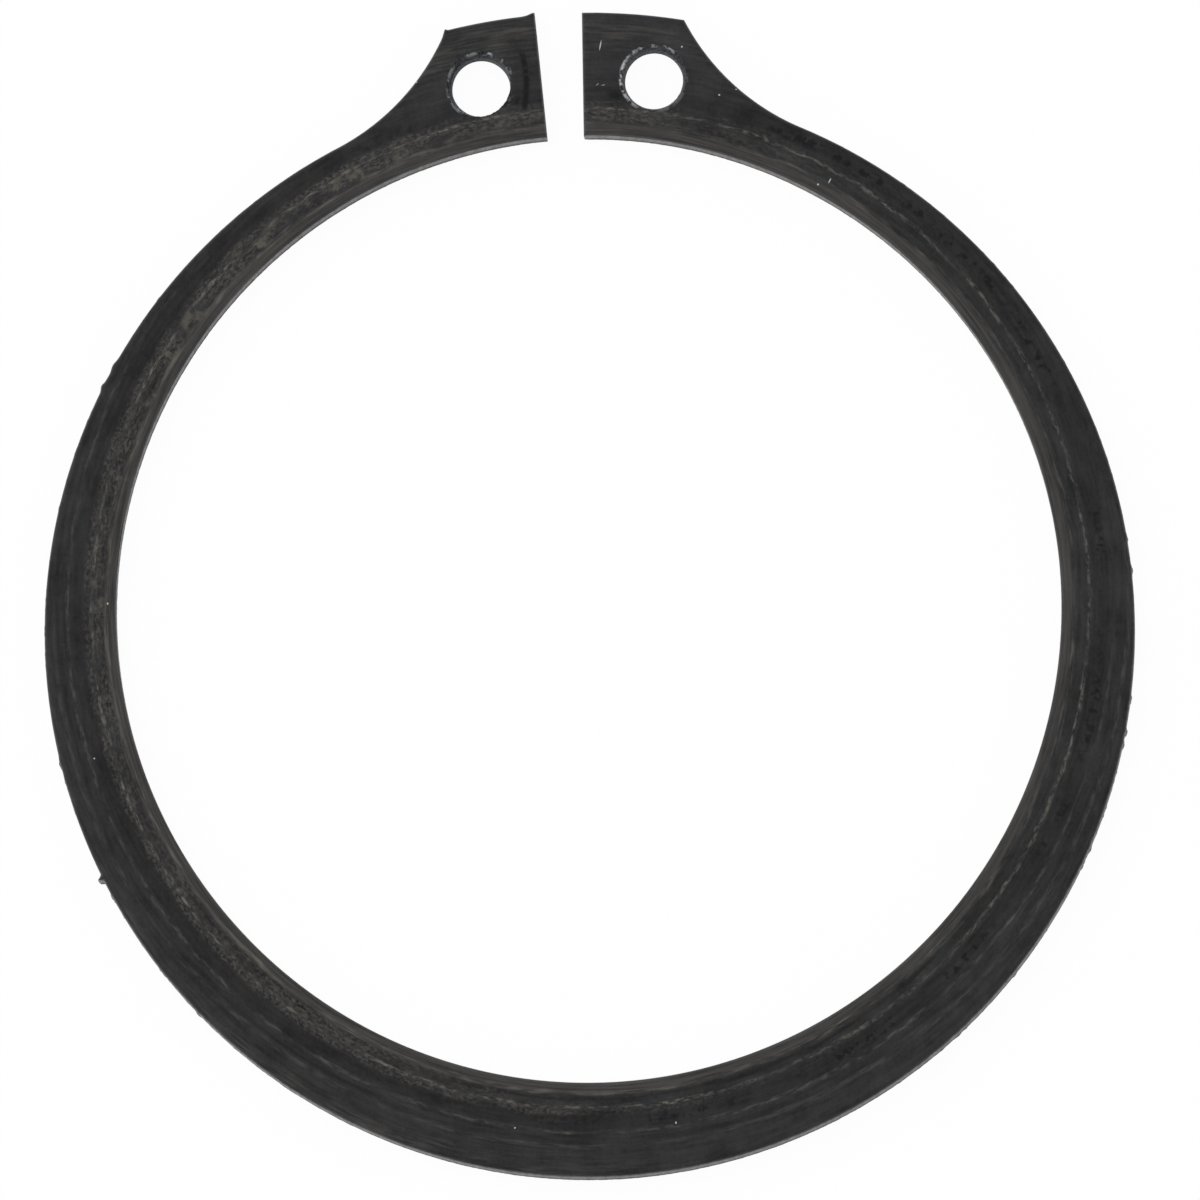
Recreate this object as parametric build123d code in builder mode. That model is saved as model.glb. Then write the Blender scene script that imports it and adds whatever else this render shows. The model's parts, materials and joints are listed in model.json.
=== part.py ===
from build123d import *
import os
from math import atan, degrees, radians, sqrt, tan

# External retaining ring for a 2 inch shaft: one piece of spring steel, blanked from strip.
# The ring lies flat with its axis on Z and its burred face down. The gap between the two plier
# lugs is toward +Y. The origin is the centre of the inner circle, halfway through the strip.
# All sizes are in millimetres and degrees.

# ---- Ring -------------------------------------------------------------------------------
free_diameter = 46.99       # inner diameter before the ring is sprung onto its shaft
strip_thickness = 1.57
section_at_back = 4.65      # radial width opposite the gap
section_at_gap = 2.50       # radial width that the taper would reach under the lugs

# ---- Lugs -------------------------------------------------------------------------------
lug_height = 6.11           # from the inner circle to the lug's top arc
lug_half_width = 5.95       # from the ring's centre line to the lug's outer corner
lug_flank_radius = 11.65    # hollow curve that runs from the lug's corner into the ring
lug_corner_radius = 0.20

# ---- Gap --------------------------------------------------------------------------------
gap_width = 1.82            # at the inner circle
gap_offset = -0.19          # the gap is cut a little to the left of the centre line
gap_lean = 1.06             # and leans the same way
gap_flare = 2.49            # each side opens outward by this angle

# ---- Plier holes ------------------------------------------------------------------------
plier_hole_diameter = 2.90
plier_hole_height = 3.00    # from the inner circle to the hole's centre
plier_hole_spacing = 8.61   # between the two centres
breakout_flare = 0.15       # the hole is this much wider all round where the punch broke out
breakout_depth = 0.45       # below the upper face

# ---- Sheared edge -----------------------------------------------------------------------
rollover_radius = 0.14      # rounding that the die drags into the upper face
burnish_depth = 0.86        # from the upper face to where the straight, smooth land ends
fracture_taper = 3.0        # torn lower part of the edge slopes in by this angle

inner_radius = free_diameter / 2
outer_radius = inner_radius + (section_at_back + section_at_gap) / 2
outer_offset = (section_at_back - section_at_gap) / 2
lug_radius = inner_radius + lug_height
upper_z = strip_thickness / 2
land_end_z = upper_z - burnish_depth
fracture_depth = strip_thickness - burnish_depth

# The outer arc is struck from a centre below the ring's own, which makes the section taper.
outer_centre = Vector(0, -outer_offset)
outer_bottom = outer_centre - Vector(0, outer_radius)

# The lug's outer corner lies on its top arc.
lug_corner = Vector(lug_half_width, sqrt(lug_radius**2 - lug_half_width**2))

# The flank's arc passes through that corner and is tangent to the outer arc, so its centre is
# one flank radius from the corner and both radii from the outer centre.
corner_reach = (lug_corner - outer_centre).length
centre_reach = outer_radius + lug_flank_radius
along = (centre_reach**2 - lug_flank_radius**2 + corner_reach**2) / (2 * corner_reach)
aside = sqrt(centre_reach**2 - along**2)
toward_corner = (lug_corner - outer_centre).normalized()
flank_centre = outer_centre + toward_corner * along + Vector(toward_corner.Y, -toward_corner.X) * aside
flank_foot = outer_centre + (flank_centre - outer_centre) * (outer_radius / centre_reach)
flank_middle = flank_centre + (
    (lug_corner + flank_foot) / 2 - flank_centre
).normalized() * lug_flank_radius


def mirrored(point):
    return Vector(-point.X, point.Y)


# The blank's outline: top arc over both lugs, hollow flanks, eccentric outer arc, inner circle
# and the gap. It is drawn where the burnished land ends and the fracture begins.
with BuildSketch(Plane.XY.offset(land_end_z)) as blank_outline:
    with BuildLine() as outer_line:
        ThreePointArc(lug_corner, (0, lug_radius), mirrored(lug_corner))
        ThreePointArc(mirrored(lug_corner), mirrored(flank_middle), mirrored(flank_foot))
        ThreePointArc(mirrored(flank_foot), outer_bottom, flank_foot)
        ThreePointArc(flank_foot, flank_middle, lug_corner)
    make_face()
    lug_corners = blank_outline.vertices().filter_by_position(
        Axis.Y, lug_corner.Y - 0.01, lug_corner.Y + 0.01
    )
    fillet(lug_corners, radius=lug_corner_radius)
    Circle(inner_radius, mode=Mode.SUBTRACT)
    # The gap's two sides start at the inner circle and run past it and past the lugs' tops.
    left_foot = Vector(gap_offset - gap_width / 2, inner_radius)
    right_foot = Vector(gap_offset + gap_width / 2, inner_radius)
    left_side = Vector(-tan(radians(gap_flare + gap_lean)), 1)
    right_side = Vector(tan(radians(gap_flare - gap_lean)), 1)
    with BuildLine() as gap_line:
        Polyline(
            left_foot - left_side * lug_height,
            left_foot + left_side * lug_height * 1.5,
            right_foot + right_side * lug_height * 1.5,
            right_foot - right_side * lug_height,
            close=True,
        )
    make_face(mode=Mode.SUBTRACT)

with BuildPart() as retaining_ring:
    # Lower part of the edge: the torn fracture, which slopes in under the face all round.
    extrude(blank_outline.sketch, amount=-fracture_depth)
    draft(
        retaining_ring.faces().filter_by(Axis.Z, reverse=True),
        neutral_plane=Plane.XY.offset(land_end_z),
        angle=-fracture_taper,
    )
    # Upper part: the straight land that the die burnished.
    extrude(blank_outline.sketch, amount=burnish_depth)
    # The die drags the upper face down along the whole outline.
    upper_face = retaining_ring.faces().sort_by(Axis.Z)[-1]
    fillet(upper_face.edges(), radius=rollover_radius)
    # The plier holes were pierced from below, so each breaks out wider at the upper face.
    hole_y = sqrt((inner_radius + plier_hole_height) ** 2 - (plier_hole_spacing / 2) ** 2)
    with Locations((0, hole_y, upper_z)):
        with GridLocations(plier_hole_spacing, 0, 2, 1):
            CounterSinkHole(
                radius=plier_hole_diameter / 2,
                counter_sink_radius=plier_hole_diameter / 2 + breakout_flare,
                counter_sink_angle=2 * degrees(atan(breakout_flare / breakout_depth)),
            )

os.makedirs("parts", exist_ok=True)
retaining_ring.part.label = "retaining_ring"
export_step(retaining_ring.part, "parts/retaining_ring.step")
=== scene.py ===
import json
from math import atan2, cos, pi, radians, sin, sqrt, tan

import bpy
from mathutils import Matrix, Vector


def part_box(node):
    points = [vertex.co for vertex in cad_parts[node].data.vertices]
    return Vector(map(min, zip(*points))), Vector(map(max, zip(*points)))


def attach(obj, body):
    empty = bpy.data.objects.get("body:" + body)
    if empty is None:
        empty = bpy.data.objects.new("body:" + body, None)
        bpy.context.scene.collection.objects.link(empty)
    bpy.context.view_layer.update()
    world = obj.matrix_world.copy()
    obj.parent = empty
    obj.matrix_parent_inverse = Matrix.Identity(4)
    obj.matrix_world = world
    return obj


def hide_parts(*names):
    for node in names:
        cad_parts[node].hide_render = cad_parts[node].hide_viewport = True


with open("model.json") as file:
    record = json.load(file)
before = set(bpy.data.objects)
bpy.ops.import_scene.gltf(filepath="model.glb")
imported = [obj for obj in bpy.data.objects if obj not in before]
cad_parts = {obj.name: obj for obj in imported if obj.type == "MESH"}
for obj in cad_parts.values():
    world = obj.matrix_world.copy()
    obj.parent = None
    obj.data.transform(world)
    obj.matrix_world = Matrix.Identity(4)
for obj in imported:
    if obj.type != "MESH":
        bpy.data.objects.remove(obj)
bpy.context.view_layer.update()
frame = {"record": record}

# ---- Retaining ring ---------------------------------------------------------------------------
# An external retaining ring, blanked in one stroke from spring steel strip, hardened and black
# phosphated. The die rolls the upper edges over, burnishes the upper half of every wall and tears
# the lower half, which leaves a small burr round the lower face.
MM = 0.001
ring_low, ring_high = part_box("retaining_ring")
mounts = {mount["name"]: mount for mount in frame["record"]["mounts"]}
inner_radius = mounts["shaft_seat"]["dims"]["r_mm"] * MM

# Its edge, as one walks up the wall from the burred lower face to the rolled upper one.
upper_z = ring_high.z
lower_z = ring_low.z
burnish_depth = 0.86 * MM
fracture_taper = radians(2.0)
inner_roll_width = 0.50 * MM
outer_roll_width = 0.26 * MM
roll_depth = 0.11 * MM
burr_width = 0.10 * MM
burr_height = 0.02 * MM
land_end_z = upper_z - burnish_depth
roll_start_z = upper_z - roll_depth
fracture_steps = 7
land_steps = 2
roll_steps = 5
upper_face_steps = 9
lower_face_steps = 6


def sheared_edge(roll_width):
    """Steps in from the wall and heights, from the lower face to the upper one."""
    edge = []
    for i in range(fracture_steps):
        z = lower_z + (land_end_z - lower_z) * i / fracture_steps
        edge.append(((land_end_z - z) * tan(fracture_taper), z))
    for i in range(land_steps):
        edge.append((0, land_end_z + (roll_start_z - land_end_z) * i / land_steps))
    for i in range(roll_steps + 1):
        turn = pi / 2 * i / roll_steps
        edge.append((roll_width * (1 - cos(turn)), roll_start_z + roll_depth * sin(turn)))
    return edge


# The section is a row of loose points: x is the share of the way from the inner wall to the outer
# one, y the step in from the nearer wall and z the height.
section = [(0, step, z) for step, z in sheared_edge(inner_roll_width)]
section += [(i / upper_face_steps, inner_roll_width, upper_z) for i in range(1, upper_face_steps)]
outer_top = len(section)
section += [(1, step, z) for step, z in reversed(sheared_edge(outer_roll_width))]
outer_foot = len(section) - 1
for i in range(lower_face_steps + 1):
    section.append((1 - i / lower_face_steps, burr_width, lower_z + burr_height))
edge_levels = outer_foot - outer_top

section_mesh = bpy.data.meshes.new("strip_section")
section_mesh.from_pydata(section, [], [])
spring_steel_ring = bpy.data.objects.new("spring_steel_ring", section_mesh)
bpy.context.scene.collection.objects.link(spring_steel_ring)

# The outer arc is struck from a centre below the inner one, so the section tapers from the back
# to the lugs. A hollow flank runs from each lug's corner into that arc.
outer_radius = ring_high.x
outer_offset = -ring_low.y - outer_radius
lug_height = 6.11 * MM
lug_radius = inner_radius + lug_height
lug_half_width = 5.95 * MM
flank_radius = 11.65 * MM
outer_centre = Vector((0, -outer_offset))
lug_corner = Vector((lug_half_width, sqrt(lug_radius**2 - lug_half_width**2)))
corner_reach = (lug_corner - outer_centre).length
centre_reach = outer_radius + flank_radius
along = (centre_reach**2 - flank_radius**2 + corner_reach**2) / (2 * corner_reach)
aside = sqrt(centre_reach**2 - along**2)
toward_corner = (lug_corner - outer_centre).normalized()
flank_centre = outer_centre + toward_corner * along
flank_centre += Vector((toward_corner.y, -toward_corner.x)) * aside
flank_foot = outer_centre + (flank_centre - outer_centre) * (outer_radius / centre_reach)

# The gap is cut a little to the left of the centre line and leans the same way.
gap_width = 1.82 * MM
gap_offset = -0.19 * MM
gap_flare = radians(2.49)
gap_lean = radians(1.06)

# The torn part is grainy, and rough bumps stand out from it here and there.
torn_height = 0.042 * MM
grain_width = 0.25 * MM
tear_fade = 0.15 * MM
bump_height = 0.12 * MM
bump_spread = 2 / 3 * MM

# Hardening closes the free ring a little and lets it go slightly oval.
spring_close = 0.03 * MM
ovality = 0.0093

sizes = {
    "Inner radius": inner_radius - spring_close,
    "Outer radius": outer_radius,
    "Outer offset": outer_offset,
    "Lug radius": lug_radius,
    "Flank radius": flank_radius,
    "Flank centre X": flank_centre.x,
    "Flank centre Y": flank_centre.y,
    "Corner angle": atan2(lug_corner.x, lug_corner.y),
    "Foot angle": atan2(flank_foot.x, flank_foot.y),
    "Land end": land_end_z,
    "Torn grain": torn_height,
    "Edge bumps": bump_height,
    "Gap width": gap_width,
    "Gap offset": gap_offset,
    "Gap slope left": -tan(gap_flare + gap_lean),
    "Gap slope right": tan(gap_flare - gap_lean),
    "Hole radius": mounts["right_plier_hole"]["dims"]["r_mm"] * MM,
    "Hole across": mounts["right_plier_hole"]["pos_m"][0],
    "Hole up": mounts["right_plier_hole"]["pos_m"][1],
    "Ovality": ovality,
}
stations = 2000

blank = bpy.data.node_groups.new("blanked_ring", "GeometryNodeTree")
blank.interface.new_socket("Section", in_out="INPUT", socket_type="NodeSocketGeometry")
blank.interface.new_socket("Ring", in_out="OUTPUT", socket_type="NodeSocketGeometry")
size_keys = {}
for name in sizes:
    socket = blank.interface.new_socket(name, in_out="INPUT", socket_type="NodeSocketFloat")
    size_keys[name] = socket.identifier


def add(tree, kind, *values, **settings):
    """Adds a node, sets its properties, and fills or links its inputs in order."""
    node = tree.nodes.new(kind)
    for name, value in settings.items():
        setattr(node, name, value)
    sockets = [socket for socket in node.inputs if socket.enabled]
    for socket, value in zip(sockets, values):
        if isinstance(value, bpy.types.Node):
            value = next(out for out in value.outputs if out.enabled)
        if isinstance(value, bpy.types.NodeSocket):
            tree.links.new(value, socket)
        elif value is not None:
            socket.default_value = value
    return node


MATH = "ShaderNodeMath"
VECTOR = "ShaderNodeVectorMath"
size = add(blank, "NodeGroupInput").outputs

# The strip is a grid with one row for each station round the ring and one column for each point
# of the section. The last row and the last column close it.
points = len(section)
columns = points + 1
grid = add(blank, "GeometryNodeMeshGrid", 1, 1, stations + 1, columns)
index = add(blank, "GeometryNodeInputIndex")
column = add(blank, MATH, index, columns, operation="FLOORED_MODULO")
row_start = add(blank, MATH, index, column, operation="SUBTRACT")
row = add(blank, MATH, row_start, columns, operation="DIVIDE")
even_angle = add(blank, "ShaderNodeMapRange", row, 0, stations, -pi, pi, clamp=False)

# The station nearest to each lug corner is moved onto the corner.
even_size = add(blank, MATH, even_angle, operation="ABSOLUTE")
near = add(blank, MATH, even_size, size["Corner angle"], pi / stations, operation="COMPARE")
angle_size = add(
    blank, "GeometryNodeSwitch", near, even_size, size["Corner angle"], input_type="FLOAT"
)
side = add(blank, MATH, even_angle, operation="SIGN")
angle = add(blank, MATH, angle_size, side, operation="MULTIPLY")
sine = add(blank, MATH, angle, operation="SINE")
cosine = add(blank, MATH, angle, operation="COSINE")
ray = add(blank, "ShaderNodeCombineXYZ", sine, cosine, 0)

# How far along its ray a station meets the outer arc, and how far the flank's arc.
arc_point = add(blank, "ShaderNodeCombineXYZ", 0, size["Outer offset"], 0)
arc_along = add(blank, VECTOR, arc_point, ray, operation="DOT_PRODUCT")
arc_cross = add(blank, VECTOR, arc_point, ray, operation="CROSS_PRODUCT")
arc_aside = add(blank, VECTOR, arc_cross, arc_cross, operation="DOT_PRODUCT")
arc_square = add(blank, MATH, size["Outer radius"], 2, operation="POWER")
arc_left = add(blank, MATH, arc_square, arc_aside, operation="SUBTRACT")
arc_chord = add(blank, MATH, arc_left, operation="SQRT")
arc_reach = add(blank, MATH, arc_chord, arc_along, operation="SUBTRACT")
half_sine = add(blank, MATH, sine, operation="ABSOLUTE")
half_ray = add(blank, "ShaderNodeCombineXYZ", half_sine, cosine, 0)
flank_point = add(blank, "ShaderNodeCombineXYZ", size["Flank centre X"], size["Flank centre Y"], 0)
flank_along = add(blank, VECTOR, flank_point, half_ray, operation="DOT_PRODUCT")
flank_cross = add(blank, VECTOR, flank_point, half_ray, operation="CROSS_PRODUCT")
flank_aside = add(blank, VECTOR, flank_cross, flank_cross, operation="DOT_PRODUCT")
flank_square = add(blank, MATH, size["Flank radius"], 2, operation="POWER")
flank_left = add(blank, MATH, flank_square, flank_aside, operation="SUBTRACT")
flank_chord = add(blank, MATH, flank_left, operation="SQRT")
flank_reach = add(blank, MATH, flank_along, flank_chord, operation="SUBTRACT")
on_flank = add(blank, MATH, angle_size, size["Corner angle"], operation="GREATER_THAN")
on_arc = add(blank, MATH, angle_size, size["Foot angle"], operation="GREATER_THAN")
lug_reach = add(
    blank, "GeometryNodeSwitch", on_flank, size["Lug radius"], flank_reach, input_type="FLOAT"
)
true_reach = add(blank, "GeometryNodeSwitch", on_arc, lug_reach, arc_reach, input_type="FLOAT")

# Torn burrs stand out at a few places: angle from the gap in degrees, height and half width.
# At its half width a burr has fallen to about a third of its height.
burr_fall = 0.37
burr_spikes = [
    (-116.5, 0.26 * MM, 0.10 * MM),
    (-63.0, 0.10 * MM, 0.22 * MM),
    (-60.5, 0.08 * MM, 0.30 * MM),
    (-11.7, 0.09 * MM, 0.10 * MM),
    (-2.95, 0.13 * MM, 0.28 * MM),
]
spiked_reach = true_reach
for spike_angle, spike_height, half_width in burr_spikes:
    away = add(blank, MATH, angle, radians(spike_angle), operation="SUBTRACT")
    spread = add(blank, MATH, away, outer_radius / half_width, operation="MULTIPLY")
    spread_square = add(blank, MATH, spread, spread, operation="MULTIPLY")
    falling = add(blank, MATH, burr_fall, spread_square, operation="POWER")
    spiked_reach = add(blank, MATH, falling, spike_height, spiked_reach, operation="MULTIPLY_ADD")
outer_point = add(blank, VECTOR, ray, spiked_reach, operation="SCALE")
inner_point = add(blank, VECTOR, ray, size["Inner radius"], operation="SCALE")

# The wall's direction is read from stations a little way off on each side, so the rolled edge
# runs softly round a lug's corner and doesn't fold over itself.
blend_stations = 5
corner_blend = blend_stations * columns
grid_size = stations * columns
after = add(blank, MATH, index, corner_blend, operation="ADD")
before = add(blank, MATH, index, corner_blend, operation="SUBTRACT")
after_in = add(blank, MATH, after, grid_size, operation="FLOORED_MODULO")
before_in = add(blank, MATH, before, grid_size, operation="FLOORED_MODULO")
next_point = add(blank, "GeometryNodeFieldAtIndex", outer_point, after_in, data_type="FLOAT_VECTOR")
last_point = add(blank, "GeometryNodeFieldAtIndex", outer_point, before_in, data_type="FLOAT_VECTOR")
run = add(blank, VECTOR, next_point, last_point, operation="SUBTRACT")
square_off = add(blank, VECTOR, (0, 0, 1), run, operation="CROSS_PRODUCT")
outward = add(blank, VECTOR, square_off, operation="NORMALIZE")

# Each column takes its share, step and height from the section.
place_in = add(blank, "GeometryNodeInputPosition")
point_number = add(blank, MATH, column, points, operation="FLOORED_MODULO")
section_point = add(
    blank, "GeometryNodeSampleIndex", size["Section"], place_in, point_number, data_type="FLOAT_VECTOR"
)
share, step, height = add(blank, "ShaderNodeSeparateXYZ", section_point).outputs

# The grain fades in below the land, and the bumps of the outer wall are strongest in the torn
# part, to the left and right of the ring.
tear_start = add(blank, MATH, size["Land end"], tear_fade, operation="SUBTRACT")


def torn_grain(place, level):
    """How far the torn metal stands out at a place and a height on the wall."""
    torn_share = add(blank, "ShaderNodeMapRange", level, size["Land end"], tear_start, 0, 1)
    grain = add(blank, "ShaderNodeTexNoise", place, 1 / grain_width, 3.0, 0.6)
    grain_rise = add(blank, MATH, grain, 0.5, operation="SUBTRACT")
    grain_high = add(blank, MATH, size["Torn grain"], torn_share, operation="MULTIPLY")
    return add(blank, MATH, grain_rise, grain_high, operation="MULTIPLY")


height_only = add(blank, "ShaderNodeCombineXYZ", 0, 0, height)
wall_place = add(blank, VECTOR, outer_point, height_only, operation="ADD")
step_torn = add(blank, MATH, step, torn_grain(wall_place, height), operation="SUBTRACT")
land_bumps = 0.35
end_bumps = 0.15
bump = add(blank, "ShaderNodeTexNoise", outer_point, 1 / bump_spread, 2.0, 0.6)
bump_rise = add(blank, "ShaderNodeMapRange", bump, 0.55, 0.80, 0, 1)
bump_level = add(blank, "ShaderNodeMapRange", height, size["Land end"], tear_start, land_bumps, 1)
bump_side = add(blank, "ShaderNodeMapRange", half_sine, 0.45, 0.85, end_bumps, 1)
bump_high = add(blank, MATH, size["Edge bumps"], bump_level, operation="MULTIPLY")
bump_most = add(blank, MATH, bump_high, bump_side, operation="MULTIPLY")
bump_out = add(blank, MATH, bump_rise, bump_most, operation="MULTIPLY")
step_bumped = add(blank, MATH, step_torn, bump_out, operation="SUBTRACT")
inner_step = add(blank, VECTOR, ray, step_torn, operation="SCALE")
outer_step = add(blank, VECTOR, outward, step_bumped, operation="SCALE")
inner_wall = add(blank, VECTOR, inner_point, inner_step, operation="ADD")
outer_wall = add(blank, VECTOR, outer_point, outer_step, operation="SUBTRACT")
flat_place = add(blank, "ShaderNodeMix", share, inner_wall, outer_wall, data_type="VECTOR")
ring_place = add(blank, VECTOR, flat_place, height_only, operation="ADD")
open_ring = add(blank, "GeometryNodeSetPosition", grid, True, ring_place)
weld_distance = 0.0005 * MM
ring = add(blank, "GeometryNodeMergeByDistance", open_ring, True, weld_distance)

# What cuts the ring takes the same edge, level by level, and runs on past both faces. The block
# and the plugs start as shapes one unit across, which the edge then gives their true size.
past_face = 0.5 * MM
levels = edge_levels + 2


def edge_at(level):
    """The edge's step and height at a level counted from its foot, and the height run on."""
    level_in = add(blank, "ShaderNodeClamp", level, 0, edge_levels)
    level_past = add(blank, MATH, level, level_in, operation="SUBTRACT")
    number = add(blank, MATH, outer_foot, level_in, operation="SUBTRACT")
    point = add(
        blank, "GeometryNodeSampleIndex", size["Section"], place_in, number, data_type="FLOAT_VECTOR"
    )
    edge_step, edge_height = add(blank, "ShaderNodeSeparateXYZ", point).outputs[1:]
    run_on = add(blank, MATH, level_past, past_face, edge_height, operation="MULTIPLY_ADD")
    return edge_step, edge_height, run_on


# The gap is cut by a block, whose two sides flare and lean.
gap_overrun = 1.5 * MM
block_columns = 64
block = add(blank, "GeometryNodeMeshCube", (1, 1, 1), 2, block_columns, levels + 1)
across, along_gap, through = add(blank, "ShaderNodeSeparateXYZ", place_in).outputs
block_level = add(blank, "ShaderNodeMapRange", through, -0.5, 0.5, -1, levels - 1, clamp=False)
block_step, block_height, block_z = edge_at(block_level)
block_low = inner_radius - gap_overrun
block_high = lug_radius + gap_overrun
block_y = add(blank, "ShaderNodeMapRange", along_gap, -0.5, 0.5, block_low, block_high)
block_up = add(blank, MATH, block_y, size["Inner radius"], operation="SUBTRACT")
on_right = add(blank, MATH, across, 0, operation="GREATER_THAN")
slope = add(
    blank,
    "GeometryNodeSwitch",
    on_right,
    size["Gap slope left"],
    size["Gap slope right"],
    input_type="FLOAT",
)
gap_edge = add(blank, MATH, size["Gap width"], across, size["Gap offset"], operation="MULTIPLY_ADD")
gap_slant = add(blank, MATH, block_up, slope, gap_edge, operation="MULTIPLY_ADD")
block_here = add(blank, "ShaderNodeCombineXYZ", across, block_y, block_z)
block_grain = torn_grain(block_here, block_height)
block_out = add(blank, MATH, block_grain, block_step, operation="ADD")
block_sign = add(blank, MATH, across, operation="SIGN")
block_x = add(blank, MATH, block_out, block_sign, gap_slant, operation="MULTIPLY_ADD")
block_place = add(blank, "ShaderNodeCombineXYZ", block_x, block_y, block_z)
gap_block = add(blank, "GeometryNodeSetPosition", block, True, block_place)
split_ring = add(
    blank, "GeometryNodeMeshBoolean", ring, gap_block, operation="DIFFERENCE", solver="MANIFOLD"
)

# Each plier hole is cut by a plug. It was pierced from below, so its edge is upside down: the
# punch broke out at the upper face, where the rim is wider and chipped.
hole_flare = 0.13 * MM
breakout_depth = 0.45 * MM
breakout_shift_left = (-0.12 * MM, 0.10 * MM, 0)
breakout_shift_right = (0.02 * MM, 0.04 * MM, 0)
chip_depth = 0.10 * MM
chip_band = 0.16 * MM
chip_spread = 2 / 3 * MM
plug_sides = 120
plug = add(
    blank, "GeometryNodeMeshCylinder", plug_sides, levels, 1, 1, 1, fill_type="TRIANGLE_FAN"
)
plug_left = add(blank, MATH, size["Hole across"], -1, operation="MULTIPLY")
plug_start = add(blank, "ShaderNodeCombineXYZ", plug_left, size["Hole up"], 0)
plug_apart = add(blank, MATH, size["Hole across"], 2, operation="MULTIPLY")
plug_run = add(blank, "ShaderNodeCombineXYZ", plug_apart, 0, 0)
plug_line = add(blank, "GeometryNodeMeshLine", 2, plug_start, plug_run)
plug_kept = add(
    blank,
    "GeometryNodeStoreNamedAttribute",
    plug.outputs["Mesh"],
    True,
    "plug_place",
    place_in,
    data_type="FLOAT_VECTOR",
)
plug_pair = add(blank, "GeometryNodeInstanceOnPoints", plug_line, True, plug_kept)
plugs = add(blank, "GeometryNodeRealizeInstances", plug_pair)
plug_place = add(blank, "GeometryNodeInputNamedAttribute", "plug_place", data_type="FLOAT_VECTOR")
plug_across, plug_up, plug_through = add(blank, "ShaderNodeSeparateXYZ", plug_place).outputs
plug_level = add(blank, "ShaderNodeMapRange", plug_through, 0.5, -0.5, -1, levels - 1, clamp=False)
plug_step, plug_height, plug_depth = edge_at(plug_level)
plug_z = add(blank, MATH, plug_depth, -1, operation="MULTIPLY")
plug_flat = add(blank, "ShaderNodeCombineXYZ", plug_across, plug_up, 0)
plug_ray = add(blank, VECTOR, plug_flat, operation="NORMALIZE")
plug_centre = add(blank, VECTOR, place_in, plug_place, operation="SUBTRACT")
broken = add(blank, "ShaderNodeMapRange", plug_height, lower_z + breakout_depth, lower_z, 0, 1)
plug_flare = add(blank, MATH, broken, hole_flare, operation="MULTIPLY")
plug_side = add(blank, "ShaderNodeSeparateXYZ", plug_centre).outputs[0]
plug_on_right = add(blank, MATH, plug_side, 0, operation="GREATER_THAN")
shift_most = add(
    blank,
    "GeometryNodeSwitch",
    plug_on_right,
    breakout_shift_left,
    breakout_shift_right,
    input_type="VECTOR",
)
breakout_shift = add(blank, VECTOR, shift_most, broken, operation="SCALE")
plug_here = add(blank, "ShaderNodeCombineXYZ", 0, 0, plug_z)
plug_wall = add(blank, VECTOR, place_in, plug_here, operation="ADD")
chip_start = add(blank, MATH, lower_z, chip_band, operation="ADD")
chip_near = add(blank, "ShaderNodeMapRange", plug_height, chip_start, lower_z, 0, chip_depth)
chip_noise = add(blank, "ShaderNodeTexNoise", plug_wall, 1 / chip_spread, 2.0, 0.5)
chip_here = add(blank, "ShaderNodeMapRange", chip_noise, 0.46, 0.72, 0, 1)
plug_out = add(blank, MATH, torn_grain(plug_wall, plug_height), plug_step, operation="ADD")
plug_wide = add(blank, MATH, plug_out, plug_flare, operation="ADD")
plug_chipped = add(blank, MATH, chip_near, chip_here, plug_wide, operation="MULTIPLY_ADD")
plug_radius = add(blank, MATH, plug_chipped, size["Hole radius"], operation="ADD")
plug_rim = add(blank, VECTOR, plug_ray, plug_radius, operation="SCALE")
plug_flat_centre = add(blank, VECTOR, plug_centre, plug_here, operation="ADD")
plug_round = add(blank, VECTOR, plug_flat_centre, plug_rim, operation="ADD")
plug_at = add(blank, VECTOR, plug_round, breakout_shift, operation="ADD")
hole_plugs = add(blank, "GeometryNodeSetPosition", plugs, True, plug_at)
pierced = add(
    blank, "GeometryNodeMeshBoolean", split_ring, hole_plugs, operation="DIFFERENCE", solver="MANIFOLD"
)

# The hardened ring is slightly taller than wide.
oval = add(blank, MATH, size["Ovality"], 1, operation="ADD")
oval_scale = add(blank, "ShaderNodeCombineXYZ", 1, oval, 1)
oval_place = add(blank, VECTOR, place_in, oval_scale, operation="MULTIPLY")
hardened = add(blank, "GeometryNodeSetPosition", pierced, True, oval_place)

# Sheared walls are marked for the finish, and creases stay sharp. A face counts as a wall by how
# little its normal points up or down.
face_normal = 0.95
wall_normal = 0.60
crease_angle = radians(38)
normal = add(blank, "GeometryNodeInputNormal")
normal_z = add(blank, "ShaderNodeSeparateXYZ", normal).outputs[2]
normal_size = add(blank, MATH, normal_z, operation="ABSOLUTE")
wall = add(blank, "ShaderNodeMapRange", normal_size, face_normal, wall_normal, 0, 1)
marked = add(
    blank,
    "GeometryNodeStoreNamedAttribute",
    hardened,
    True,
    "sheared_wall",
    wall,
    data_type="FLOAT",
    domain="FACE",
)
edge_angle = add(blank, "GeometryNodeInputMeshEdgeAngle")
crease = add(blank, MATH, edge_angle, crease_angle, operation="GREATER_THAN")
smooth = add(blank, "GeometryNodeSetShadeSmooth", marked, True, True, domain="FACE")
creased = add(blank, "GeometryNodeSetShadeSmooth", smooth, crease, False, domain="EDGE")
clean = add(blank, "GeometryNodeRemoveAttribute", creased, "Exact", "plug_place")

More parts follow.
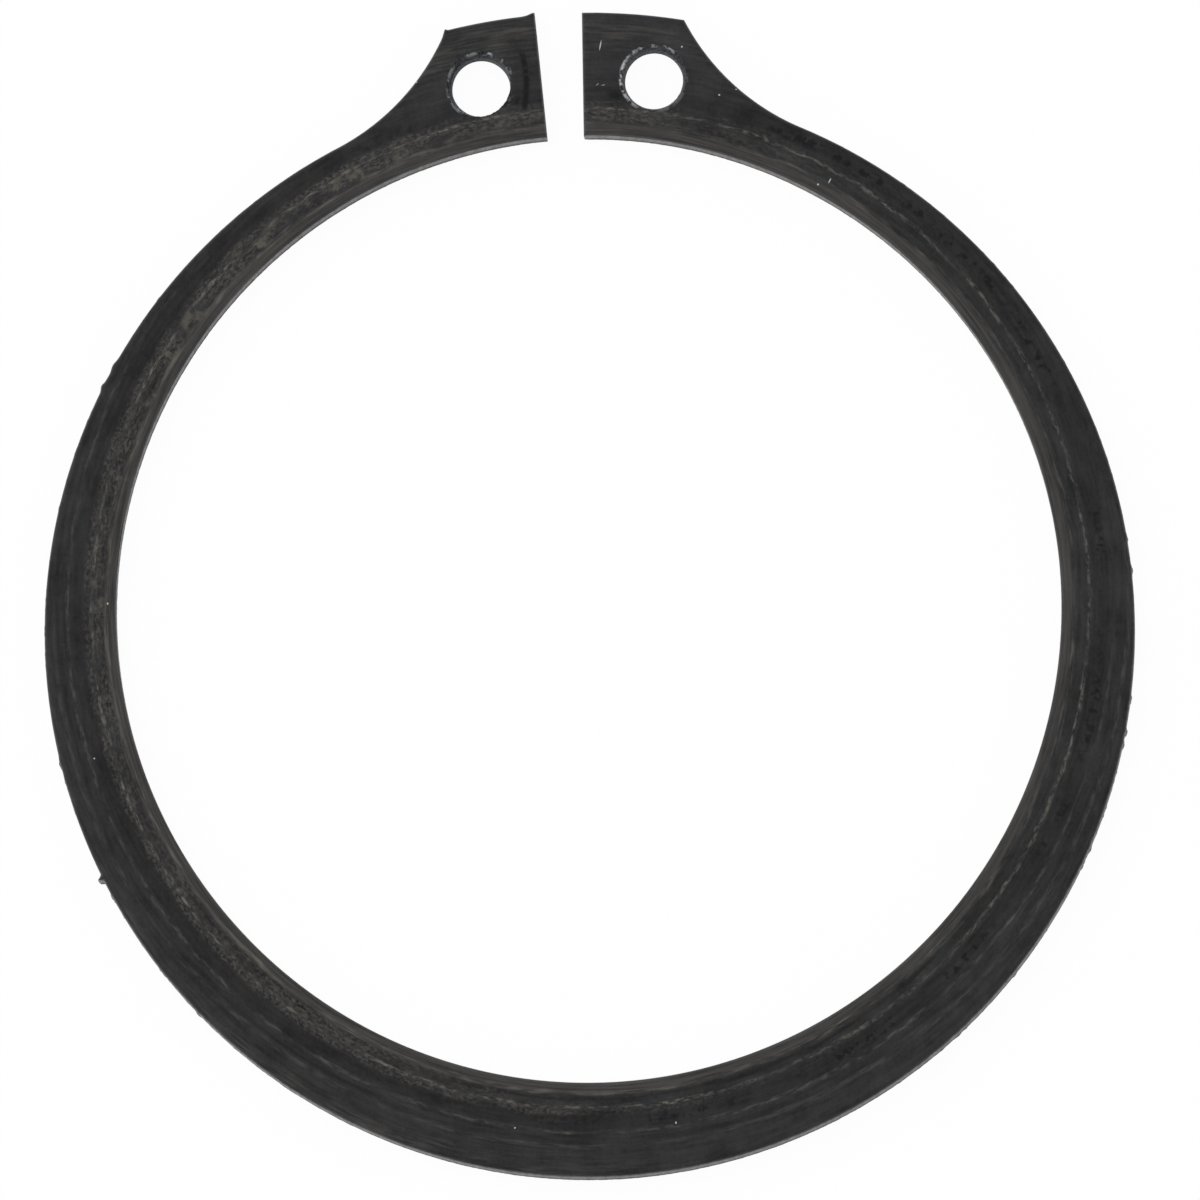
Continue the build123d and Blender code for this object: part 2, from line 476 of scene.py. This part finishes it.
# Black phosphated, oiled spring steel: a dull crystalline coat, grey black, that takes up the oil.
# It shows the strip's fine rolling lines, scuffs that run round the ring and paler, browner steel
# where the coat is thin: on the rolled inner edge, on the scuffs and on the sheared walls.
def linear(code):
    """An sRGB hex colour as linear red, green, blue and alpha."""
    parts = [int(code[i : i + 2], 16) / 255 for i in (1, 3, 5)]
    return (*[c / 12.92 if c <= 0.04045 else ((c + 0.055) / 1.055) ** 2.4 for c in parts], 1)


phosphate_black = linear("#161618")
phosphate_grey = linear("#353536")
# Soot black of the stains, the blacker band and the oily lines, also used for the painted shade of the
# crease on the left lug.
stain_and_shade_black = linear("#08080a")
rubbed_phosphate = linear("#524f4b")
worn_phosphate = linear("#6c6962")
tan_oil = linear("#605c52")
burnished_steel = linear("#86878a")
dull_land = linear("#696a6d")
torn_steel = linear("#453f39")
torn_brown = linear("#5c544c")
pierced_steel = linear("#23262d")
bare_steel = linear("#c4c6c8")

black_steel = bpy.data.materials.new("phosphated_spring_steel")
black_steel.use_nodes = True
coat = black_steel.node_tree
coat.nodes.clear()

object_place = add(coat, "ShaderNodeTexCoord").outputs["Object"]
true_round = (1, 1 / (1 + ovality), 1)
round_place = add(coat, "ShaderNodeMapping", object_place, (0, 0, 0), (0, 0, 0), true_round)
x, y, z = add(coat, "ShaderNodeSeparateXYZ", round_place).outputs
flat = add(coat, "ShaderNodeCombineXYZ", x, y, 0)
reach = add(coat, VECTOR, flat, operation="LENGTH").outputs["Value"]
from_inner = add(coat, MATH, reach, inner_radius - spring_close, operation="SUBTRACT")
heading = add(coat, VECTOR, flat, operation="NORMALIZE")


def drawn_out(length, width, detail, start):
    """Noise whose marks run along the ring: their length, width, detail and where it starts."""
    turns = add(coat, VECTOR, heading, outer_radius / length, operation="SCALE")
    across = add(coat, MATH, reach, 1 / width, start, operation="MULTIPLY_ADD")
    lift = add(coat, "ShaderNodeCombineXYZ", 0, 0, across)
    run = add(coat, VECTOR, turns, lift, operation="ADD")
    return add(coat, "ShaderNodeTexNoise", run, 1.0, detail, 0.6)


def toward(side, least, start=-0.5, full=0.3):
    """One on the side of the ring that a direction points to, falling to least across from it."""
    facing = add(coat, VECTOR, heading, (*side, 0), operation="DOT_PRODUCT").outputs["Value"]
    return add(coat, "ShaderNodeMapRange", facing, start, full, least, 1)


# No line round the ring is quite true: it wanders to both sides.
wander_most = 0.07 * MM
wander_noise = drawn_out(1.6 * MM, 1.0 * MM, 2.0, 5)
wander = add(coat, "ShaderNodeMapRange", wander_noise, 0.3, 0.7, -wander_most, wander_most)
line_lean = (0.09 * MM, 0.04 * MM, 0)


def band(distance, half_width):
    """One on a line round the ring, fading out on both sides, and a little further out at right."""
    lean = add(coat, VECTOR, heading, line_lean, operation="DOT_PRODUCT")
    leaning = add(coat, MATH, from_inner, lean.outputs["Value"], operation="SUBTRACT")
    wandering = add(coat, MATH, leaning, wander, operation="SUBTRACT")
    off_line = add(coat, MATH, wandering, distance, operation="SUBTRACT")
    off_size = add(coat, MATH, off_line, operation="ABSOLUTE")
    return add(coat, "ShaderNodeMapRange", off_size, half_width, half_width * 0.3, 0, 1)


def product(*shares):
    """Shares multiplied together."""
    whole_share = shares[0]
    for share_next in shares[1:]:
        whole_share = add(coat, MATH, whole_share, share_next, operation="MULTIPLY")
    return whole_share


# Phosphate crystals: real ones are about 0.01 mm, drawn fourteen times coarser so that they show.
crystal_grain = 1 / 7 * MM
crystals = add(coat, "ShaderNodeTexNoise", object_place, 1 / crystal_grain, 3.0, 0.7)
# Oil dries in patches a few millimetres across.
oil_patch = 2.0 * MM
mottle = add(coat, "ShaderNodeTexNoise", object_place, 1 / oil_patch, 4.0, 0.65)
# Rolling lines of the strip, along Y: real ones are about 0.02 mm apart, drawn six times coarser.
rolling_line = 0.12 * MM
rolling_run = 1.2 * MM
strip_scale = (1 / rolling_line, 1 / rolling_run, 1 / MM)
strip_place = add(coat, VECTOR, object_place, strip_scale, operation="MULTIPLY")
rolling = add(coat, "ShaderNodeTexNoise", strip_place, 1.0, 2.0, 0.55)
# Tumbling with other rings leaves scuffs that run round the ring.
scuff_length = 2.2 * MM
scuff_width = 0.22 * MM
scuffs = drawn_out(scuff_length, scuff_width, 4.0, 0)
tone_parts = [(crystals, 0.55), (mottle, 1.0), (rolling, 0.20), (scuffs, 1.0)]
tone_sum = 0
for pattern, weight in tone_parts:
    tone_sum = add(coat, MATH, pattern, weight, tone_sum, operation="MULTIPLY_ADD")
tone_middle = sum(weight for pattern, weight in tone_parts) / 2
tone = add(coat, "ShaderNodeMapRange", tone_sum, tone_middle - 0.33, tone_middle + 0.46, 0, 1)
coat_colour = add(coat, "ShaderNodeMix", tone, phosphate_black, phosphate_grey, data_type="RGBA")

# The coat stays blacker in a band beyond the scuffed one, with a few soot-black stains.
dark_line = 1.95 * MM
dark_half_width = 0.75 * MM
dark_most = 0.22
stain_line = 2.0 * MM
stain_half_width = 0.34 * MM
stain_size = 0.40 * MM
stain_run_length = 3.5 * MM
stain_run_width = 5.0 * MM
dark_share = product(band(dark_line, dark_half_width), dark_most)
darker = add(coat, "ShaderNodeMix", dark_share, coat_colour, stain_and_shade_black, data_type="RGBA")
stain_noise = drawn_out(stain_size, stain_size, 3.0, 31)
stain_here = add(coat, "ShaderNodeMapRange", stain_noise, 0.50, 0.57, 0, 0.95)
stain_run = drawn_out(stain_run_length, stain_run_width, 1.0, 12)
stain_run_here = add(coat, "ShaderNodeMapRange", stain_run, 0.47, 0.55, 0, 1)
stain_band = band(stain_line, stain_half_width)
stain_share = product(stain_here, stain_run_here, stain_band, toward((0.8, 0.0), 0.3))
stained = add(coat, "ShaderNodeMix", stain_share, darker, stain_and_shade_black, data_type="RGBA")

# The roll-over at the inner edge is rubbed paler, in long streaks.
rubbed_width = 0.48 * MM
rubbed_end = 0.66 * MM
rubbed_most = 0.70
streak_length = 4.0 * MM
streak_width = 0.10 * MM
roll_noise = drawn_out(streak_length, streak_width, 3.0, 57)
roll_streaks = add(coat, "ShaderNodeMapRange", roll_noise, 0.35, 0.70, 0.15, 1)
on_roll = add(coat, "ShaderNodeMapRange", from_inner, rubbed_width, rubbed_end, rubbed_most, 0)
rubbed_share = product(on_roll, roll_streaks)
rubbed = add(coat, "ShaderNodeMix", rubbed_share, stained, rubbed_phosphate, data_type="RGBA")

# Thin black lines run between the worn ones, where the coat is thick and oily: distance from the
# inner wall, half width, strength, the side they are strongest on and what is left across from it.
black_lines = [
    (0.90 * MM, 0.16 * MM, 0.60, (-0.7, -0.9), 0.1),
    (1.62 * MM, 0.20 * MM, 0.45, (0.0, -1.0), 0.3),
    (2.95 * MM, 0.18 * MM, 0.35, (-0.2, -1.0), 0.1),
]
oily_length = 4.0 * MM
oily_width = 0.3 * MM
black = 0
for number, (distance, half_width, strength, side_most, least) in enumerate(black_lines):
    oily_noise = drawn_out(oily_length, oily_width, 3.0, 407 + 17 * number)
    oily = add(coat, "ShaderNodeMapRange", oily_noise, 0.40, 0.60, 0, strength)
    black_line = product(band(distance, half_width), oily, toward(side_most, least))
    black = add(coat, MATH, black, black_line, operation="MAXIMUM")
lined = add(coat, "ShaderNodeMix", black, rubbed, stain_and_shade_black, data_type="RGBA")

# Worn lines where the stripper plate pressed: distance from the inner wall, half width, length of
# a fleck, strength, the side of the ring they are strongest on and what is left across from it.
worn_lines = [
    (0.60 * MM, 0.15 * MM, 1.40 * MM, 0.66, (-0.9, -0.4), 0.65),
    (1.32 * MM, 0.13 * MM, 0.40 * MM, 0.92, (-0.9, 0.1), 0.90),
    (1.00 * MM, 0.55 * MM, 0.28 * MM, 0.38, (-1.1, 0.3), 0.05),
    (1.55 * MM, 0.25 * MM, 0.20 * MM, 0.40, (-0.9, 0.0), 0.15),
    (2.52 * MM, 0.13 * MM, 0.60 * MM, 0.42, (-0.3, -0.9), 0.0),
    (3.25 * MM, 0.16 * MM, 0.80 * MM, 0.30, (0.0, -1.0), 0.0),
    (4.90 * MM, 1.50 * MM, 1.60 * MM, 0.28, (-2.5, 0.3), 0.15),
]
worn_run = 2.6 * MM
worn_spread = 0.6 * MM
fleck_width = 0.12 * MM
worn = 0
for number, (distance, half_width, fleck, strength, side_most, least) in enumerate(worn_lines):
    long_noise = drawn_out(worn_run, worn_spread, 3.0, 71 + 13 * number)
    fleck_noise = drawn_out(fleck, fleck_width, 3.0, 140 + 29 * number)
    long_share = add(coat, "ShaderNodeMapRange", long_noise, 0.38, 0.60, 0.22, 1)
    flecks = add(coat, "ShaderNodeMapRange", fleck_noise, 0.41, 0.64, 0, strength)
    line = product(band(distance, half_width), long_share, flecks, toward(side_most, least))
    worn = add(coat, MATH, worn, line, operation="MAXIMUM")
worn_in = add(coat, "ShaderNodeMix", worn, lined, worn_phosphate, data_type="RGBA")

# Thin tan patches of dried oil beside the inner roll-over, mostly left of the gap.
dried_patch = 1.0 * MM
patch_line = 0.95 * MM
patch_half_width = 0.60 * MM
patch_noise = add(coat, "ShaderNodeTexNoise", object_place, 1 / dried_patch, 3.0, 0.6)
patch_here = add(coat, "ShaderNodeMapRange", patch_noise, 0.56, 0.67, 0, 0.62)
patch_side = toward((-0.77, 0.64), 0.0, 0.55, 0.95)
patch_share = product(patch_here, band(patch_line, patch_half_width), patch_side)
oiled = add(coat, "ShaderNodeMix", patch_share, worn_in, tan_oil, data_type="RGBA")

# A bowed crease beside the gap on the left lug. Its groove is not in the mesh, and its shade is
# painted on the coat as a black line.
crease_x = -2.02 * MM
crease_y = 26.3 * MM
crease_bow = 0.09 * MM
crease_half_width = 0.20 * MM
crease_core = 0.07 * MM
crease_half_length = 1.50 * MM
crease_fade = 0.25 * MM
lug_x = add(coat, MATH, x, -crease_x, operation="ADD")
lug_y = add(coat, MATH, y, -crease_y, operation="ADD")
bow_up = add(coat, MATH, lug_y, 1 / MM, operation="MULTIPLY")
bow = add(coat, MATH, bow_up, bow_up, operation="MULTIPLY")
crease_off = add(coat, MATH, bow, crease_bow, lug_x, operation="MULTIPLY_ADD")
crease_size = add(coat, MATH, crease_off, operation="ABSOLUTE")
crease_wide = add(coat, "ShaderNodeMapRange", crease_size, crease_half_width, crease_core, 0, 1)
crease_up = add(coat, MATH, lug_y, operation="ABSOLUTE")
crease_full = crease_half_length - crease_fade
crease_long = add(coat, "ShaderNodeMapRange", crease_up, crease_half_length, crease_full, 0, 1)
crease_broken = add(coat, "ShaderNodeMapRange", scuffs, 0.36, 0.46, 0.30, 1)
# The painted shade of the crease, broken up by the scuffs.
crease_shade_share = product(crease_wide, crease_long, crease_broken)
crease_shaded_colour = add(coat, "ShaderNodeMix", crease_shade_share, oiled, stain_and_shade_black, data_type="RGBA")

# Bare scratches and specks in millimetres: across, up, half length, half width and their slant.
bare_marks = [
    (1.73, 27.91, 0.25, 0.03, 77),
    (1.50, 25.97, 0.09, 0.012, 40),
    (1.80, 25.93, 0.10, 0.012, 8),
    (5.78, 27.66, 0.05, 0.04, 40),
    (7.54, 25.18, 0.05, 0.04, 0),
    (8.39, 25.42, 0.04, 0.03, 0),
    (12.85, 20.67, 0.14, 0.03, 60),
    (12.26, 20.51, 0.05, 0.05, 0),
    (-7.50, 26.49, 0.06, 0.04, 30),
    (-23.85, 1.27, 0.06, 0.04, 90),
    (-24.81, -6.37, 0.04, 0.04, 0),
    (-4.69, -25.53, 0.05, 0.035, 30),
    (3.29, -25.62, 0.06, 0.04, 90),
]
bare = 0
for across_mm, up_mm, half_length, mark_half_width, slant in bare_marks:
    mark_place = add(coat, VECTOR, flat, (across_mm * MM, up_mm * MM, 0), operation="SUBTRACT")
    mark_turned = add(coat, "ShaderNodeMapping", mark_place, (0, 0, 0), (0, 0, radians(-slant)))
    mark_size = (1 / (half_length * MM), 1 / (mark_half_width * MM), 0)
    mark_near = add(coat, VECTOR, mark_turned, mark_size, operation="MULTIPLY")
    mark_off = add(coat, VECTOR, mark_near, operation="LENGTH").outputs["Value"]
    mark_share = add(coat, "ShaderNodeMapRange", mark_off, 1.2, 0.6, 0, 0.85)
    bare = add(coat, MATH, bare, mark_share, operation="MAXIMUM")
face_colour = add(coat, "ShaderNodeMix", bare, crease_shaded_colour, bare_steel, data_type="RGBA")

# Sheared walls: burnished above, torn and browner below. The shear's streaks run up the wall, 3.5
# to the millimetre, where real ones are finer, and the land ends raggedly.
shear_streaks = 3.5
streak_squeeze = 0.12
ragged_height = 0.5 * MM
ragged_edge = 0.04 * MM
tear_middle = land_end_z + ragged_height / 2
wall_mark = add(coat, "ShaderNodeAttribute", attribute_name="sheared_wall").outputs["Fac"]
shear_scale = (1 / MM, 1 / MM, streak_squeeze / MM)
shear_place = add(coat, VECTOR, object_place, shear_scale, operation="MULTIPLY")
shear_noise = add(coat, "ShaderNodeTexNoise", shear_place, shear_streaks, 3.0, 0.65)
ragged_z = add(coat, MATH, shear_noise, ragged_height, z, operation="MULTIPLY_ADD")
wall_torn = add(
    coat, "ShaderNodeMapRange", ragged_z, tear_middle + ragged_edge, tear_middle - ragged_edge, 0, 1
)
shear_tone = add(coat, "ShaderNodeMapRange", shear_noise, 0.35, 0.65, 0, 1)
land_colour = add(coat, "ShaderNodeMix", shear_tone, dull_land, burnished_steel, data_type="RGBA")
tear_tone = add(coat, "ShaderNodeMapRange", crystals, 0.35, 0.65, 0, 1)
tear_colour = add(coat, "ShaderNodeMix", tear_tone, torn_steel, torn_brown, data_type="RGBA")
wall_colour = add(coat, "ShaderNodeMix", wall_torn, land_colour, tear_colour, data_type="RGBA")

# In the plier holes the coat is thick and blue black. Both are read as one, mirrored to the right.
half_x = add(coat, MATH, x, operation="ABSOLUTE")
half_flat = add(coat, "ShaderNodeCombineXYZ", half_x, y, 0)
hole_middle = (sizes["Hole across"], sizes["Hole up"], 0)
hole_place = add(coat, VECTOR, half_flat, hole_middle, operation="SUBTRACT")
hole_place_x, hole_place_y = add(coat, "ShaderNodeSeparateXYZ", hole_place).outputs[:2]
side_of_ring = add(coat, MATH, x, operation="SIGN")
hole_reach = add(coat, VECTOR, hole_place, operation="LENGTH").outputs["Value"]
hole_rim = sizes["Hole radius"] + hole_flare
hole_end = hole_rim + 0.35 * MM
hole_fade = 0.10 * MM
in_hole = add(coat, "ShaderNodeMapRange", hole_reach, hole_end + hole_fade, hole_end, 0, 1)
rust_tone = add(coat, "ShaderNodeMapRange", crystals, 0.35, 0.75, 0, 0.55)
hole_wall = add(coat, "ShaderNodeMix", rust_tone, pierced_steel, burnished_steel, data_type="RGBA")
walls = add(coat, "ShaderNodeMix", in_hole, wall_colour, hole_wall, data_type="RGBA")
coated = add(coat, "ShaderNodeMix", wall_mark, face_colour, walls, data_type="RGBA")

# Where the rims are chipped the steel is bare, mostly up and to the left of each hole's centre.
rim_patch = 1 / 1.6 * MM
rim_middle = hole_rim + 0.04 * MM
rim_half_width = 0.13 * MM
rim_core = 0.04 * MM
rim_low = upper_z - 0.30 * MM
rim_top = upper_z - 0.08 * MM
chip_side = (-0.6 / MM, 0.8 / MM, 0)
rim_off = add(coat, MATH, hole_reach, rim_middle, operation="SUBTRACT")
rim_size = add(coat, MATH, rim_off, operation="ABSOLUTE")
rim_near = add(coat, "ShaderNodeMapRange", rim_size, rim_half_width, rim_core, 0, 1)
true_x = add(coat, MATH, hole_place_x, side_of_ring, operation="MULTIPLY")
true_place = add(coat, "ShaderNodeCombineXYZ", true_x, hole_place_y, 0)
rim_facing = add(coat, VECTOR, true_place, chip_side, operation="DOT_PRODUCT")
rim_side = add(coat, "ShaderNodeMapRange", rim_facing.outputs["Value"], -0.9, 0.6, 0.15, 1)
rim_high = add(coat, "ShaderNodeMapRange", z, rim_low, rim_top, 0, 1)
rim_noise = add(coat, "ShaderNodeTexNoise", object_place, 1 / rim_patch, 4.0, 0.7)
rim_chips = add(coat, "ShaderNodeMapRange", rim_noise, 0.50, 0.58, 0, 0.8)
rim_share = product(rim_near, rim_high, rim_chips, rim_side)
colour = add(coat, "ShaderNodeMix", rim_share, coated, bare_steel, data_type="RGBA")

# The crystals scatter most of the gloss. Where the coat is thin it is a little smoother, and on
# the walls the steel shows through.
crystal_roughness = 0.62
thin_roughness = 0.46
wall_roughness = 0.42
wall_metal = 0.6
coat_gloss = 0.13
relief_height = 0.012 * MM
relief_strength = 0.45
dull = add(coat, "ShaderNodeMapRange", tone, 0, 1, crystal_roughness, thin_roughness)
roughness = add(coat, "ShaderNodeMapRange", wall_mark, 0, 1, dull, wall_roughness)
metal = add(coat, "ShaderNodeMapRange", wall_mark, 0, 1, 0, wall_metal)
relief = add(coat, MATH, rolling, crystals, operation="ADD")
coat_relief = add(coat, "ShaderNodeBump", relief_strength, relief_height, 1.0, relief)
shader = add(coat, "ShaderNodeBsdfPrincipled", colour, metal, roughness)
coat.links.new(coat_relief.outputs["Normal"], shader.inputs["Normal"])
shader.inputs["Specular IOR Level"].default_value = coat_gloss
add(coat, "ShaderNodeOutputMaterial", shader)

# The tree ends with the material, and its result becomes a plain mesh.
finished = add(blank, "GeometryNodeSetMaterial", clean, True, black_steel)
whole = add(blank, "GeometryNodeRealizeInstances", finished)
add(blank, "NodeGroupOutput", whole)

carry = spring_steel_ring.modifiers.new("blanked_ring", "NODES")
carry.node_group = blank
for name, key in size_keys.items():
    carry[key] = sizes[name]
depsgraph = bpy.context.evaluated_depsgraph_get()
ring_mesh = bpy.data.meshes.new_from_object(spring_steel_ring.evaluated_get(depsgraph))
spring_steel_ring.modifiers.clear()
spring_steel_ring.data = ring_mesh
bpy.data.meshes.remove(section_mesh)
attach(spring_steel_ring, "root")
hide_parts("retaining_ring")

# ---- Floor ------------------------------------------------------------------------------------
# A plain white studio card, matt and 3 m wide, that the ring lies on, burrs down. It shows as
# white to the camera and still takes the ring's shadow.
floor_half = 1.5
shown_white = 0.96
floor_mesh = bpy.data.meshes.new("studio_card")
floor_corners = [(-1, -1), (1, -1), (1, 1), (-1, 1)]
floor_mesh.from_pydata(
    [(floor_half * i, floor_half * j, lower_z) for i, j in floor_corners], [], [(0, 1, 2, 3)]
)
floor = bpy.data.objects.new("studio_card", floor_mesh)
bpy.context.scene.collection.objects.link(floor)
card_white = bpy.data.materials.new("white_card")
card_white.use_nodes = True
card = card_white.node_tree
card.nodes.clear()
seen = add(card, "ShaderNodeLightPath").outputs["Is Camera Ray"]
matt = add(card, "ShaderNodeBsdfDiffuse", linear("#ffffff"))
glow = add(card, "ShaderNodeEmission", linear("#ffffff"), 1.0)
shown_share = add(card, MATH, seen, shown_white, operation="MULTIPLY")
card_mix = add(card, "ShaderNodeMixShader", shown_share, matt, glow)
add(card, "ShaderNodeOutputMaterial", card_mix)
floor_mesh.materials.append(card_white)

# ---- Light ------------------------------------------------------------------------------------
# A white tent of thin cloth all round, a little weaker than it looks, and one large soft lamp
# above it on the left.
tent_on_ring = 0.7
tent_seen = 1.0
world = bpy.data.worlds.new("light_tent")
bpy.context.scene.world = world
world.use_nodes = True
tent = world.node_tree
tent.nodes.clear()
seen_tent = add(tent, "ShaderNodeLightPath")
tent_camera = seen_tent.outputs["Is Camera Ray"]
tent_gloss = seen_tent.outputs["Is Glossy Ray"]
camera_or_gloss = add(tent, MATH, tent_camera, tent_gloss, operation="MAXIMUM")
tent_strength = add(tent, "ShaderNodeMapRange", camera_or_gloss, 0, 1, tent_on_ring, tent_seen)
tent_light = add(tent, "ShaderNodeBackground", linear("#ffffff"), tent_strength)
add(tent, "ShaderNodeOutputWorld", tent_light)

lamp_width = 0.6
lamp_watts = 2.0
lamp_place = (-0.35, 0.25, 0.6)
lamp_data = bpy.data.lights.new("soft_lamp", "AREA")
lamp_data.shape = "SQUARE"
lamp_data.size = lamp_width
lamp_data.energy = lamp_watts
lamp = bpy.data.objects.new("soft_lamp", lamp_data)
lamp.location = lamp_place
lamp.rotation_euler = (-lamp.location).to_track_quat("-Z", "Y").to_euler()
bpy.context.scene.collection.objects.link(lamp)

# ---- Camera -----------------------------------------------------------------------------------
# It looks down almost square on to the ring, from a little on the back's side, turned so that
# the gap leans to the left.
field_width = 59.55 * MM
camera_distance = 1.50
camera_tilt = radians(7.5)
camera_heading = radians(-79)
camera_roll = radians(2.32)
aim = Vector((0.588, 0.377, 0)) * MM
aim.z = upper_z
toward_camera = Vector(
    (sin(camera_tilt) * cos(camera_heading), sin(camera_tilt) * sin(camera_heading), cos(camera_tilt))
)
sensor_width = 36
camera_data = bpy.data.cameras.new("camera")
camera_data.sensor_width = sensor_width
camera_data.lens = sensor_width * camera_distance / field_width
camera = bpy.data.objects.new("camera", camera_data)
up_hint = Vector((sin(camera_roll), cos(camera_roll), 0))
right = up_hint.cross(toward_camera).normalized()
up = toward_camera.cross(right)
turned = Matrix((right, up, toward_camera)).transposed().to_4x4()
camera.matrix_world = Matrix.Translation(aim + toward_camera * camera_distance) @ turned
camera_data.clip_end = 10
bpy.context.scene.collection.objects.link(camera)
bpy.context.scene.camera = camera
bpy.context.scene.view_settings.view_transform = "Standard"
